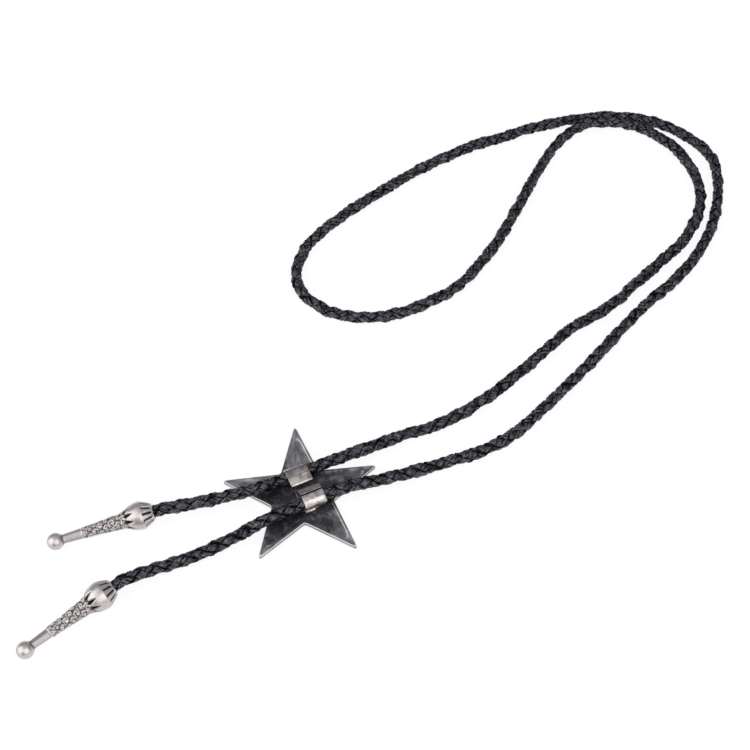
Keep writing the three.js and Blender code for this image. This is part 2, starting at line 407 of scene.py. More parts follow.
# %% Waxed black leather: its patterns
leather, shader = new_material("waxed_black_braiding_leather")
along = add_node(leather, "Attribute", attribute_name="along").outputs["Fac"]
across = add_node(leather, "Attribute", attribute_name="across").outputs["Fac"]
raised = add_node(leather, "Attribute", attribute_name="raised").outputs["Fac"]
position = add_node(leather, "TexCoord").outputs["Object"]
lace_place = add_node(leather, "CombineXYZ", {"X": along, "Y": across}).outputs[0]
streak_place = add_node(
    leather, "VectorMath", {0: lace_place, 1: (per_metre(3.0), 2.2, 1.0)}, operation="MULTIPLY"
).outputs[0]
streaks = add_node(leather, "TexNoise", {"Vector": streak_place, "Scale": 1.0, "Detail": 3.0})
grain = add_node(leather, "TexNoise", {"Vector": position, "Scale": per_metre(1.0), "Detail": 4.0})
patches = add_node(leather, "TexNoise", {"Vector": position, "Scale": per_metre(2.4), "Detail": 2.0})
print("leather nodes so far:", len(leather.node_tree.nodes))

# %% Painted shade between the laces, and the colours
streak_tone = add_node(
    leather, "MapRange", {"Value": streaks.outputs["Fac"], "From Min": 0.4, "From Max": 0.62}
).outputs[0]
dye = add_node(
    leather,
    "Mix",
    {"Factor": streak_tone, "A": linear("07060b"), "B": linear("282435")},
    data_type="RGBA",
).outputs["Result"]
on_hump = add_node(
    leather,
    "MapRange",
    {"Value": raised, "From Min": 0.1, "From Max": 0.5},
    interpolation_type="SMOOTHSTEP",
).outputs[0]
off_middle = add_node(leather, "Math", {0: across}, operation="ABSOLUTE").outputs[0]
edge_shade_spread = add_node(  # the painted shade along a lace's edges is wider in some places than in others
    leather, "MapRange", {"Value": patches.outputs["Fac"], "To Min": -0.5, "To Max": 0.5}
).outputs[0]
off_middle = add_node(leather, "Math", {0: off_middle, 1: edge_shade_spread}, operation="ADD").outputs[0]
off_edge = add_node(
    leather,
    "MapRange",
    {"Value": off_middle, "From Min": 1.0, "From Max": 0.6},
    interpolation_type="SMOOTHSTEP",
).outputs[0]
rubbed_and_unshaded = add_node(  # 1 on the humps, 0 in the gaps between the laces, which get painted shade
    leather, "Math", {0: on_hump, 1: off_edge}, operation="MULTIPLY"
).outputs[0]
# painted shade: the gaps between laces, their edges and the core seen through them turn near-black
colour = add_node(
    leather,
    "Mix",
    {"Factor": rubbed_and_unshaded, "A": linear("0b0a10"), "B": dye},
    data_type="RGBA",
).outputs["Result"]
print("leather nodes so far:", len(leather.node_tree.nodes))

# %% Painted glints
glint_place = add_node(
    leather, "VectorMath", {0: lace_place, 1: (per_metre(1.8), 2.6, 1.0)}, operation="MULTIPLY"
).outputs[0]
glint_noise = add_node(
    leather, "TexNoise", {"Vector": glint_place, "Scale": 1.0, "Detail": 5.0, "Roughness": 0.7}
)
painted_glints = add_node(  # painted glints: pale flecks on the humps stand in for small highlights
    leather,
    "MapRange",
    {"Value": glint_noise.outputs["Fac"], "From Min": 0.55, "From Max": 0.68, "To Max": 0.9},
).outputs[0]
glints_on_humps = add_node(leather, "Math", {0: painted_glints, 1: rubbed_and_unshaded}, operation="MULTIPLY").outputs[0]
# the colour of the painted glints
colour = add_node(
    leather,
    "Mix",
    {"Factor": glints_on_humps, "A": colour, "B": linear("5f5b68")},
    data_type="RGBA",
).outputs["Result"]
print("leather nodes so far:", len(leather.node_tree.nodes))

# %% The wax and the grain
gloss = add_node(
    leather,
    "MapRange",
    {"Value": patches.outputs["Fac"], "From Min": 0.35, "From Max": 0.65, "To Min": 0.16, "To Max": 0.4},
).outputs[0]
roughness = add_node(
    leather, "Mix", {"Factor": rubbed_and_unshaded, "A": 0.9, "B": gloss}, data_type="FLOAT"
).outputs["Result"]
streak_bump = add_node(
    leather, "Bump", {"Height": streaks.outputs["Fac"], "Strength": 1.0, "Distance": 1.0 * MM}
)
grain_bump = add_node(
    leather,
    "Bump",
    {
        "Height": grain.outputs["Fac"],
        "Strength": 1.0,
        "Distance": 0.3 * MM,
        "Normal": streak_bump.outputs[0],
    },
)
connect(leather, colour, shader.inputs["Base Color"])
connect(leather, roughness, shader.inputs["Roughness"])
connect(leather, grain_bump.outputs[0], shader.inputs["Normal"])
shader.inputs["IOR"].default_value = 1.5
# the painted shade also takes the reflection out of the gaps
waxed = add_node(leather, "MapRange", {"Value": streak_tone, "To Min": 0.1, "To Max": 1.45}).outputs[0]
specular = add_node(leather, "Math", {0: rubbed_and_unshaded, 1: waxed}, operation="MULTIPLY").outputs[0]
connect(leather, specular, shader.inputs["Specular IOR Level"])
braided_cord.data.materials.append(leather)
print("made", leather.name)

# %% [markdown]
# ## The star
#
# The slide is a cast five-pointed star, lying on its ridged face. We see its back: a straight
# outer wall, a narrow flat rim, and a shallow hollow that the caster leaves to save metal.
# It could be extruded and inset from one flat star, but its corners are rounder in the
# hollow than outside. So we draw the star again for each step of its wall, a little smaller
# and rounder as it goes inwards, and bridge each star to the next.

# %% Star outline
STAR_POINTS = 5
STAR_TIP = 30.1 * MM  # its corners, as sharp as they would be before they are rounded
STAR_NOTCH = 11.8 * MM
STAR_FLOOR = 2.4 * MM
ROUND_TIP = 2.1 * MM  # a corner is rounded from this far along its two sides
ROUND_NOTCH = 0.9 * MM
HOLLOW_ROUND_TIP = 5.5 * MM  # and from this far in the hollow's corners
HOLLOW_EDGE = (0.5, 0.8)  # mm inside the outline, where one of these turns into the other
NOTCH_GROWTH = 0.7  # a notch's rounding grows by this share of the way inside the outline
ROUNDING_STEPS = 5
FRONT_SHARE = 0.3  # the front rises to a small flat star, this share of the outline
STAR_RINGS = [  # how far inside the outline, height, both in mm, and painted light, 1 bright to -1 black
    # the wall gets a band of painted reflection between thin lines of painted shade, and the bevels get
    # painted highlights
    (0.0, 1.35, -0.3), (0.0, 1.5, 0.9), (0.0, 1.85, 0.9), (0.0, 1.98, -0.4), (0.0, 2.36, -0.4),
    (0.03, 2.5, 0.8), (0.15, 2.8, 0.9), (0.3, 2.9, 0.1), (0.45, 2.89, 0.0), (0.75, 2.86, 0.0),
    (1.0, 2.7, 0.8), (1.25, 2.56, 0.0), (2.0, 2.42, 0.0), (2.4, 2.4, 0.0),
]


def edge_distance(x, y):
    """How far a point inside the star is from its nearest edge, the corners taken as sharp."""
    half_turn = math.pi / STAR_POINTS
    radius = math.hypot(x, y)
    angle = abs(math.remainder(math.atan2(x, y), 2 * half_turn))
    px, py = radius * math.cos(angle), radius * math.sin(angle)
    ex = STAR_NOTCH * math.cos(half_turn) - STAR_TIP
    ey = STAR_NOTCH * math.sin(half_turn)
    return (ey * (STAR_TIP - px) + ex * py) / math.hypot(ex, ey)


def star_ring(bm, share, height, round_tip, round_notch):
    """A flat star, this share of the full outline, with its corners rounded."""
    corners = []
    for k in range(2 * STAR_POINTS):
        angle = math.pi / 2 + k * math.pi / STAR_POINTS
        radius = share * (STAR_NOTCH if k % 2 else STAR_TIP)
        corners.append(bm.verts.new((radius * math.cos(angle), radius * math.sin(angle), height)))
    bm.faces.new(corners)
    for verts, reach in ((corners[0::2], round_tip), (corners[1::2], round_notch)):
        bmesh.ops.bevel(
            bm, geom=verts, offset=reach, offset_type="OFFSET", affect="VERTICES",
            segments=ROUNDING_STEPS, profile=0.5, material=-1,
        )


def smoothstep(low, high, value):
    """0 below low and 1 above high, with a smooth rise between them."""
    share = min(max((value - low) / (high - low), 0.0), 1.0)
    return share * share * (3 - 2 * share)


# %% Star body
star_bm = bmesh.new()
painted_light = star_bm.verts.layers.float.new("painted_light")


def lone_ring(share, height, round_tip, round_notch, light_paint):
    """Draws one ring in a bmesh of its own, and adds it to the star's."""
    ring_bm = bmesh.new()
    ring_light_paint = ring_bm.verts.layers.float.new("painted_light")
    star_ring(ring_bm, share, height, round_tip, round_notch)
    for vert in ring_bm.verts:
        vert[ring_light_paint] = light_paint
    known = set(star_bm.faces)
    pour(ring_bm, star_bm)
    return next(face for face in star_bm.faces if face not in known)


half_width = edge_distance(0, 0)  # from the middle of the star to any of its edges
front = lone_ring(FRONT_SHARE, 0.0, FRONT_SHARE * ROUND_TIP, FRONT_SHARE * ROUND_NOTCH, 0.0)
stack = [front]
for inset, height, light_paint in STAR_RINGS:
    into_hollow = smoothstep(*HOLLOW_EDGE, inset)
    stack.append(
        lone_ring(
            1 - inset * MM / half_width,
            height * MM,
            ROUND_TIP + (HOLLOW_ROUND_TIP - ROUND_TIP) * into_hollow,
            ROUND_NOTCH + NOTCH_GROWTH * inset * MM,
            light_paint,
        )
    )
for lower, upper in zip(stack, stack[1:]):
    bmesh.ops.bridge_loops(star_bm, edges=list(lower.edges) + list(upper.edges))
bmesh.ops.delete(star_bm, geom=stack[1:-1], context="FACES_ONLY")
bmesh.ops.recalc_face_normals(star_bm, faces=star_bm.faces)
print("star faces:", len(star_bm.faces), "open edges:", sum(e.is_boundary for e in star_bm.edges))

# %% Cut the hollow's floor into small faces
FLOOR_CELL = 0.9 * MM
LEVEL = 0.001 * MM  # corners this close to the floor's height lie on it


def facing_up(bm, rise):
    """The faces whose normals rise by more than this."""
    return [face for face in bm.faces if face.normal.z > rise]


def floor_faces():
    """The faces that lie on the floor of the hollow."""
    return [
        face for face in facing_up(star_bm, 0.5)
        if all(abs(v.co.z - STAR_FLOOR) < LEVEL for v in face.verts)
    ]


cuts = round(2 * STAR_TIP / FLOOR_CELL)
for across_floor in (Vector((1, 0, 0)), Vector((0, 1, 0))):
    for k in range(1, cuts):
        faces = floor_faces()
        edges = {e for face in faces for e in face.edges}
        corners = {v for face in faces for v in face.verts}
        bmesh.ops.bisect_plane(
            star_bm, geom=[*faces, *edges, *corners], plane_no=across_floor,
            plane_co=across_floor * (-STAR_TIP + k * FLOOR_CELL), dist=LEVEL / 10,
        )
floor_verts = {v for face in floor_faces() for v in face.verts}
print("floor corners:", len(floor_verts))

# %% [markdown]
# The hollow isn't a flat shelf. Metal shrinks as it cools, so the floor dips a little away
# from the rim and is faintly uneven. We move the floor's corners down by a smooth function of
# their distance from the edge, with a little noise. Each corner also remembers where it lies
# along and across its arm, so that the finish can streak along the arms.

# %% Dish the floor
DISH_DEPTH = 0.35 * MM
DISH_REACH = 3.5 * MM
RIPPLE = 0.1 * MM  # the floor is uneven by up to this
RIPPLE_LENGTH = 4 * MM
for vert in floor_verts:
    inside = edge_distance(vert.co.x, vert.co.y) - STAR_RINGS[-1][0] * MM
    uneven = RIPPLE * noise.noise((vert.co.x / RIPPLE_LENGTH, vert.co.y / RIPPLE_LENGTH, 3.0))
    vert.co.z += (uneven - DISH_DEPTH) * smoothstep(0.0, DISH_REACH, inside)
print("floor dips to, mm:", round(min(v.co.z for v in floor_verts) / MM, 2))

# %% Mark the arms and the rim's painted highlight
EDGE_TURN = math.radians(72)  # an arm's sides face this far round from the way the arm points
INNER_RIM = 0.9 * MM  # the rim's inner step lies further inside the outline than this
LIT_SIDE = math.radians(57)  # and is painted bright only where the outline faces this way from +y, towards the light
LIT_FADE = (-0.3, 0.5)  # cosines of the turn from there where it is dark, and where bright
STAR_CREASE = math.radians(28)  # faces that turn by more than this meet in a crisp line

arm_along = star_bm.verts.layers.float.new("arm_along")
arm_across = star_bm.verts.layers.float.new("arm_across")
painted_light = star_bm.verts.layers.float["painted_light"]
for vert in star_bm.verts:
    x, y = vert.co.xy
    radius = math.hypot(x, y)
    off_arm = math.remainder(math.atan2(x, y), math.tau / STAR_POINTS)
    vert[arm_along], vert[arm_across] = radius * math.cos(off_arm), radius * math.sin(off_arm)
    outline_faces = math.atan2(x, y) - off_arm + math.copysign(EDGE_TURN, off_arm)
    # the rim's inner highlight is painted only where the outline faces the light
    if vert[painted_light] > 0 and edge_distance(x, y) > INNER_RIM:
        vert[painted_light] *= smoothstep(*LIT_FADE, math.cos(outline_faces - LIT_SIDE))
star_plate = finished("star_plate", star_bm)
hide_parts("star_slide")
star_plate.data.set_sharp_from_angle(angle=STAR_CREASE)

# %% [markdown]
# ## The clasp
#
# A bolo slide holds its cord in two loops of sheet metal, bent round a rod and soldered to a
# base plate. Each loop is a strip whose two ends meet on top in an open seam. We draw the
# strip's section as a few points, draw it out along the cord, and thicken it, the way the
# sheet would be bent.

# %% Clasp dimensions
SHEET = 0.5 * MM
CORD_HEIGHT = 5.45 * MM
LOOP_RADIUS = 2.85 * MM  # outside of a loop where it wraps the cord
SHOULDER_DROP = 0.65 * MM
SHOULDER_RADIUS = 0.7 * MM
TAB_STEP = 0.12 * MM  # the strip's tab end lies this much lower than its main end
SHOULDER_STEPS = 4
WRAP_STEPS = 16
LOOPS = {  # the way its round side faces; in mm: cord, inner wall, both ends, seam's two sides
    "clasp_loop_first": (-1, -7.1, -1.6, (-3.0, 5.3), (-5.4, -5.25)),
    "clasp_loop_second": (1, 5.2, 0.4, (-1.7, 6.5), (3.8, 3.05)),
}


def arc(cx, cz, radius, start, end, steps):
    """Points on an arc in the XZ plane, both ends included."""
    angles = [start + (end - start) * k / steps for k in range(steps + 1)]
    return [(cx + radius * math.cos(a), cz + radius * math.sin(a)) for a in angles]


def loop_section(side, cord_x, wall, seam):
    """The strip's outer line: from the seam down the inner wall, round the cord and back up."""
    top, bottom = CORD_HEIGHT + LOOP_RADIUS, CORD_HEIGHT - LOOP_RADIUS
    low = top - SHOULDER_DROP
    corner = (math.pi / 2, math.pi) if side > 0 else (math.pi / 2, 0)
    corner_x, corner_z = wall + side * SHOULDER_RADIUS, low - SHOULDER_RADIUS
    shoulder = arc(corner_x, corner_z, SHOULDER_RADIUS, *corner, SHOULDER_STEPS)
    under = -math.pi / 2
    wrap = arc(cord_x, CORD_HEIGHT, LOOP_RADIUS, under, under + side * math.pi, WRAP_STEPS)
    return [
        (seam[1] * MM, top - TAB_STEP),
        *shoulder,
        (wall, bottom),
        *wrap,
        (seam[0] * MM, top),
    ]


# %% Bend the two loops
SHARP_TURN = math.radians(60)  # an edge where two faces turn by more than this is rounded
SHEET_EDGE = 0.17 * MM
LOOP_CREASE = math.radians(35)
TOP_RISE = 0.75  # a loop's top faces have normals that rise more than this
TOP_DEPTH = 1.5 * MM  # and lie within this of its highest line
SHADE_REACH = 0.1 * MM  # the second loop's painted shade reaches this far past its tab end
LIT_BORDER = 0.3 * MM  # but this much of its edges keeps a painted highlight
# how far the tab ends are mixed towards the painted shade colour
TAB_SHADE = 0.45


def soften(bm, offset, angle):
    """Bevels every edge that turns by more than this angle."""
    sharp = [e for e in bm.edges if len(e.link_faces) == 2 and e.calc_face_angle() > angle]
    bmesh.ops.bevel(
        bm, geom=sharp, offset=offset, offset_type="OFFSET", affect="EDGES",
        segments=2, profile=0.5, material=-1, clamp_overlap=True,
    )


def bent_loop(name, side, cord_x, wall, ends, seam):
    """Draws a strip's section out along Y, thickens it and softens its edges."""
    bm = bmesh.new()
    clasp_painted_shade = bm.verts.layers.float.new("clasp_painted_shade")
    section = loop_section(side, cord_x * MM, wall * MM, seam)
    near = [bm.verts.new((x, ends[0] * MM, z)) for x, z in section]
    edges = [bm.edges.new(pair) for pair in zip(near, near[1:])]
    drawn = bmesh.ops.extrude_edge_only(bm, edges=edges)["geom"]
    far = [item for item in drawn if isinstance(item, bmesh.types.BMVert)]
    bmesh.ops.translate(bm, verts=far, vec=(0, (ends[1] - ends[0]) * MM, 0))
    bmesh.ops.recalc_face_normals(bm, faces=bm.faces)
    middle = Vector((cord_x * MM, 0, CORD_HEIGHT))
    face = bm.faces[0]
    if (face.calc_center_median() - middle).dot(face.normal) < 0:
        bmesh.ops.reverse_faces(bm, faces=bm.faces)
    bmesh.ops.solidify(bm, geom=list(bm.faces), thickness=SHEET)
    soften(bm, SHEET_EDGE, SHARP_TURN)
    shade_end = seam[1] * MM + SHADE_REACH if side > 0 else seam[0] * MM
    shaded_tops = [f for f in facing_up(bm, TOP_RISE) if f.calc_center_median().x < shade_end]
    shaded_tops = [f for f in shaded_tops if f.calc_center_median().z > CORD_HEIGHT + LOOP_RADIUS - TOP_DEPTH]
    bmesh.ops.inset_region(bm, faces=shaded_tops, thickness=LIT_BORDER, use_even_offset=True)
    for face in shaded_tops:  # painted shade on the tab end, which faces away from the light; the inset border around it stays bright as a painted highlight
        for vert in face.verts:
            vert[clasp_painted_shade] = TAB_SHADE
    loop = finished(name, bm)
    loop.data.set_sharp_from_angle(angle=LOOP_CREASE)
    return loop


clasp = [bent_loop(name, *values) for name, values in LOOPS.items()]

# %% The clasp's base plate
BASE_PLATE = ((-9.6, 6.6), (-2.1, 6.0), (2.0, 2.85))  # mm, from and to along X, Y and Z
BASE_EDGE = 0.3 * MM
BASE_RISE = 0.9  # the plate's top faces have normals that rise more than this
BRIGHT_LINE = 0.1 * MM  # the top's painted shade leaves a painted highlight this wide along its edges

base_bm = bmesh.new()
bmesh.ops.create_cube(base_bm, size=1)
spans = [[v * MM for v in span] for span in BASE_PLATE]
bmesh.ops.scale(base_bm, verts=base_bm.verts, vec=[high - low for low, high in spans])
bmesh.ops.translate(base_bm, verts=base_bm.verts, vec=[(low + high) / 2 for low, high in spans])
soften(base_bm, BASE_EDGE, SHARP_TURN)
clasp_painted_shade = base_bm.verts.layers.float.new("clasp_painted_shade")
top_faces = facing_up(base_bm, BASE_RISE)
bmesh.ops.inset_individual(base_bm, faces=top_faces, thickness=BRIGHT_LINE, use_even_offset=True)
# painted shade: the plate's top lies deep between the two loops
for face in facing_up(base_bm, BASE_RISE):
    for vert in face.verts:
        vert[clasp_painted_shade] = 1.0
clasp.append(finished("clasp_base", base_bm))

# %% The solder at its foot
SOLDER_MIDDLE = (6.9 * MM, 0.9 * MM, 2.75 * MM)
SOLDER_REACH = (0.75 * MM, 2.5 * MM, 0.5 * MM)
LUMPS = 0.5  # it is lumpy by up to this share of its size
LUMPS_ACROSS = 2.2  # and about this many lumps fit from its middle to its edge

solder_bm = bmesh.new()
bmesh.ops.create_icosphere(solder_bm, subdivisions=4, radius=1)
for vert in solder_bm.verts:
    swell = 1 + LUMPS * noise.noise(vert.co * LUMPS_ACROSS + Vector((4, 0, 0)))
    shape = zip(SOLDER_MIDDLE, SOLDER_REACH, vert.co)
    vert.co = Vector([middle + reach * c * swell for middle, reach, c in shape])
clasp.append(finished("solder_foot", solder_bm))

# %% [markdown]
# ## The cast tips
#
# Each tip is cast in one: a fluted mouth that takes the cord, a round knob, a long tapering
# stem covered with scrollwork, a plain faceted neck and a ball. A silversmith would turn the
# form first and then carve it, and so do we: spin a profile round the axis, then push its
# surface in and out. The scrolls are small spirals, staggered like bricks round the stem.

# %% The turned form, in mm
BALL_RADIUS = 3.05
TIP_PROFILE = [  # distance from the mouth, and radius
    (0.0, 2.7), (0.25, 3.05), (0.6, 3.3), (1.5, 3.8), (2.4, 4.25), (4.0, 4.95), (4.35, 5.06),
    (5.0, 5.06), (6.0, 4.93), (7.0, 4.72), (8.0, 4.4), (8.6, 4.12), (9.2, 3.75), (9.8, 3.38),
    (10.4, 3.05), (11.0, 2.82), (12.0, 2.65), (16.0, 2.42), (20.0, 2.06), (26.0, 1.85), (32.75, 1.6),
]
MOUTH = [(2.0, 0.0), (2.0, 2.25), (0.35, 2.3)]  # the socket inside the mouth: distance, radius
RING_STEP = 0.17
BALL_STEPS = 30
SIDES = 120


def fine_profile():
    """The outer profile cut into short steps, and the ball as an arc."""
    points = []
    for (z0, r0), (z1, r1) in zip(TIP_PROFILE, TIP_PROFILE[1:]):
        steps = max(1, round(math.hypot(z1 - z0, r1 - r0) / RING_STEP))
        points += [(z0 + (z1 - z0) * k / steps, r0 + (r1 - r0) * k / steps) for k in range(steps)]
    ball_at = TIP_LENGTH_TO_BALL / MM
    first = math.asin(TIP_PROFILE[-1][1] / BALL_RADIUS)
    for k in range(BALL_STEPS + 1):
        angle = first + (math.pi - first) * k / BALL_STEPS
        points.append((ball_at - BALL_RADIUS * math.cos(angle), BALL_RADIUS * math.sin(angle)))
    return points


def turned_tip(bm):
    """Spins the profile in bm, and returns the layer that marks what can be carved."""
    outer = bm.verts.layers.int.new("outer")
    chain = [bm.verts.new((r * MM, 0, z * MM)) for z, r in MOUTH]
    for z, r in fine_profile():
        chain.append(bm.verts.new((r * MM, 0, z * MM)))
        chain[-1][outer] = 1
    edges = [bm.edges.new(pair) for pair in zip(chain, chain[1:])]
    bmesh.ops.spin(
        bm, geom=chain + edges, axis=(0, 0, 1), cent=(0, 0, 0), dvec=(0, 0, 0),
        angle=math.tau, steps=SIDES, use_merge=True, use_duplicate=False,
    )
    bmesh.ops.remove_doubles(bm, verts=bm.verts, dist=0.001 * MM)
    return outer


# %% What is carved into it, in mm
FLUTES = 12
LEAVES = 9
CURLS_PER_ROW = 5
CURL_ROWS = [  # place and radius
    (10.6, 1.5), (12.8, 1.5), (15.0, 1.45), (17.1, 1.35), (19.2, 1.3), (21.3, 1.25), (23.2, 1.15),
    (24.9, 1.1),
]
FLUTES_LIE = (0.3, 1.0, 3.5, 4.1)  # where a pattern starts, is full, fades and ends
LEAVES_LIE = (6.6, 9.4, 9.6, 10.6)
SCROLLS_LIE = (9.0, 10.0, 25.2, 25.8)
FACETS_LIE = (25.7, 26.2, 32.0, 32.6)
FOOT_LIES = (32.2, 32.6, 32.8, 33.5)  # the ring of painted shade where the neck meets the ball


def within(span, z):
    """1 inside a span along the tip, and 0 outside it, with soft ends."""
    starts, full, fades, ends = span
    return smoothstep(starts, full, z) * (1 - smoothstep(fades, ends, z))


def arc_from(angle, spacing, radius):
    """Distance round the tip to the nearest of several evenly spaced lines."""
    return abs(math.remainder(angle, spacing)) * radius


# %% The flutes and the gaps between the leaves, in mm
FLUTE_HALF_WIDTH = 0.42
GAP_HALF_WIDTH = 0.7
NARROWEST = 0.04
SOFT_SIDE = 0.12


def groove(half_width, away):
    """1 inside a groove, 0 outside it, with a soft side between."""
    if half_width < NARROWEST:
        return 0.0
    return 1 - smoothstep(max(half_width - SOFT_SIDE, 0.0), half_width + SOFT_SIDE, away)


def flute(angle, z, radius):
    """Narrow slots cut along the mouth."""
    half_width = FLUTE_HALF_WIDTH * within(FLUTES_LIE, z)
    return groove(half_width, arc_from(angle, math.tau / FLUTES, radius))


def leaf_gap(angle, z, radius):
    """Gaps between pointed leaves behind the knob: each starts as a point and widens."""
    half_width = GAP_HALF_WIDTH * within(LEAVES_LIE, z)
    return groove(half_width, arc_from(angle, math.tau / LEAVES, radius))


# %% The scrollwork, in mm
WOBBLE = 1.5  # hand carving strays in lumps this long
STRAY_ROUND = 0.55  # by up to this round the tip
STRAY_ALONG = 0.5  # and by up to this along it
STEM_HEIGHT = 0.75  # the stems between the curls stand this high, and the curls' ridges 1
STEM_SIDE = (0.03, 0.16)
STEM_DENSITY = 1.15
SPIRAL_TURNS = 1.45  # a curl winds this many times from its middle to its rim
RIDGE_SIDE = (0.2, 0.8)
BEAD = (0.2, 0.34)  # a bead fills a curl's middle, to these shares of its radius
CURL_RIM = 0.8  # and past this share the curl's ridge fades out


def curl(angle, z, radius):
    """Height of the scrollwork, from 0 in its ground to 1 on its ridges."""
    place = Vector((radius * math.cos(angle), radius * math.sin(angle), z)) / WOBBLE
    angle += STRAY_ROUND / radius * noise.noise(place)
    z += STRAY_ALONG * noise.noise(place + Vector((0, 0, 30)))
    stem = abs(noise.noise(place * STEM_DENSITY + Vector((7, 0, 0))))
    best = STEM_HEIGHT * (1 - smoothstep(*STEM_SIDE, stem))  # thin stems fill the ground
    for row, (middle, size) in enumerate(CURL_ROWS):
        spacing = math.tau / CURLS_PER_ROW
        turned = angle + spacing / 2 * (row % 2)
        number = round(turned / spacing)
        dx, dz = math.remainder(turned, spacing) * radius, z - middle
        away = math.hypot(dx, dz)
        if away > size:
            continue
        hand = 1 if (row + number) % 2 else -1
        spiral = math.tau * SPIRAL_TURNS * away / size - hand * math.atan2(dz, dx)
        ridge = smoothstep(*RIDGE_SIDE, 0.5 + 0.5 * math.cos(spiral))
        bead = 1 - smoothstep(BEAD[0] * size, BEAD[1] * size, away)
        rim = 1 - smoothstep(CURL_RIM * size, size, away)
        best = max(best, bead, ridge * rim)
    return best


# %% All of the carving together, in mm
CUT_DEPTH = 0.5
GROUND_DEPTH = 0.2  # the scrolls' ground lies this far below the turned form
SCROLL_HEIGHT = 0.42
FACETS = 6
CORNER_WIDTH = 0.12  # half the width of the painted shade line on a facet's corner, in radians
# real patina in the scrolls' ground; painted shade on the neck's facets, their corners and its foot
PATINA_AND_SHADE = {"scroll_ground": 0.85, "facet": 0.4, "facet_corner": 0.5, "foot": 0.7}


def relief(angle, z, radius):
    """How far the surface is pushed out, in mm, and how dark its patina and painted shade are."""
    cut = max(flute(angle, z, radius), leaf_gap(angle, z, radius))
    height, dark = -CUT_DEPTH * cut, cut
    scroll = within(SCROLLS_LIE, z)
    if scroll > 0:
        ridge = curl(angle, z, radius)
        height += scroll * (SCROLL_HEIGHT * ridge - GROUND_DEPTH) * (1 - cut)
        dark = max(dark, PATINA_AND_SHADE["scroll_ground"] * scroll * (1 - ridge))
    facet = within(FACETS_LIE, z)
    if facet > 0:
        half_facet = math.pi / FACETS
        off_middle = abs(math.remainder(angle, 2 * half_facet))
        height += facet * radius * (math.cos(half_facet) / math.cos(off_middle) - 1)
        on_corner = 1 - smoothstep(0.0, CORNER_WIDTH, half_facet - off_middle)
        dark = max(dark, PATINA_AND_SHADE["facet"] * facet, PATINA_AND_SHADE["facet_corner"] * facet * on_corner)
    return height, max(dark, PATINA_AND_SHADE["foot"] * within(FOOT_LIES, z))


# %% Carve and place the tips
CARVED_FROM = 0.5 * MM  # the ball's end is left plain inside this radius

tips = []
for name, tip in TIPS.items():
    tip_bm = bmesh.new()
    outer = turned_tip(tip_bm)
    patina_and_shade = tip_bm.verts.layers.float.new("patina_and_shade")
    for vert in tip_bm.verts:
        if not vert[outer]:
            vert[patina_and_shade] = 1.0
            continue
        radius, angle = math.hypot(vert.co.x, vert.co.y), math.atan2(vert.co.y, vert.co.x)
        if radius < CARVED_FROM:
            continue
        height, vert[patina_and_shade] = relief(angle + tip["roll"], vert.co.z / MM, radius / MM)
        vert.co.x *= 1 + height * MM / radius
        vert.co.y *= 1 + height * MM / radius
    mouth, axis = tip_place(tip)
    turn = axis.to_track_quat("Z", "Y").to_matrix().to_4x4()
    bmesh.ops.transform(tip_bm, matrix=Matrix.Translation(mouth) @ turn, verts=tip_bm.verts)
    piece = finished(name + "_casting", tip_bm)
    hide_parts(name)
    tips.append(piece)

# %% [markdown]
# ## Antique pewter, nickel and silver
#
# Antiqued metal is dipped in a blackening bath and then rubbed, so the hollows stay black and
# the raised parts shine. The star's back is nearly black in the middle and turns grey towards
# the points. Its wall and bevels carry painted highlights between thin lines of painted shade,
# and the rim's inner highlight is painted only on the side that faces the light.

# %% Blackened cast pewter: its patterns
pewter, shader = new_material("blackened_cast_pewter")
position = add_node(pewter, "TexCoord").outputs["Object"]
dark_pool = add_node(  # darkest around this point, to one side of the hollow's middle
    pewter, "VectorMath", {0: position, 1: (5 * MM, -5 * MM, 0)}, operation="DISTANCE"
).outputs["Value"]
second_pool = add_node(  # and darker again in the root of one arm
    pewter, "VectorMath", {0: position, 1: (-2 * MM, 15 * MM, 0)}, operation="DISTANCE"
).outputs["Value"]
arm_place = add_node(
    pewter,
    "CombineXYZ",
    {
        "X": add_node(pewter, "Attribute", attribute_name="arm_along").outputs["Fac"],
        "Y": add_node(pewter, "Attribute", attribute_name="arm_across").outputs["Fac"],
    },
).outputs[0]
painted_light = add_node(pewter, "Attribute", attribute_name="painted_light").outputs["Fac"]
streak_place = add_node(
    pewter,
    "VectorMath",
    {0: arm_place, 1: (per_metre(9.0), per_metre(1.6), 1.0)},
    operation="MULTIPLY",
).outputs[0]
streaks = add_node(pewter, "TexNoise", {"Vector": streak_place, "Scale": 1.0, "Detail": 4.0})
mottle = add_node(
    pewter, "TexNoise", {"Vector": position, "Scale": per_metre(3.2), "Detail": 5.0, "Roughness": 0.65}
)
cast_skin = add_node(pewter, "TexNoise", {"Vector": position, "Scale": per_metre(0.6), "Detail": 3.0})
print("pewter nodes so far:", len(pewter.node_tree.nodes))

# %% How dark the back is, from its middle outwards
toward_point = add_node(
    pewter,
    "MapRange",
    {"Value": dark_pool, "From Min": 7 * MM, "From Max": 25 * MM},
    interpolation_type="SMOOTHSTEP",
).outputs[0]
blotch = add_node(
    pewter,
    "MapRange",
    {"Value": mottle.outputs["Fac"], "From Min": 0.35, "From Max": 0.65, "To Min": -0.5, "To Max": 0.5},
).outputs[0]
arm_root = add_node(
    pewter,
    "MapRange",
    {"Value": second_pool, "From Min": 3 * MM, "From Max": 17 * MM, "To Min": -0.6, "To Max": 0.0},
    interpolation_type="SMOOTHSTEP",
).outputs[0]
smoke = add_node(pewter, "Math", {0: blotch, 1: arm_root}, operation="ADD").outputs[0]
paleness_outwards = add_node(
    pewter, "Math", {0: toward_point, 1: smoke}, operation="ADD", use_clamp=True
).outputs[0]
print("pewter nodes so far:", len(pewter.node_tree.nodes))

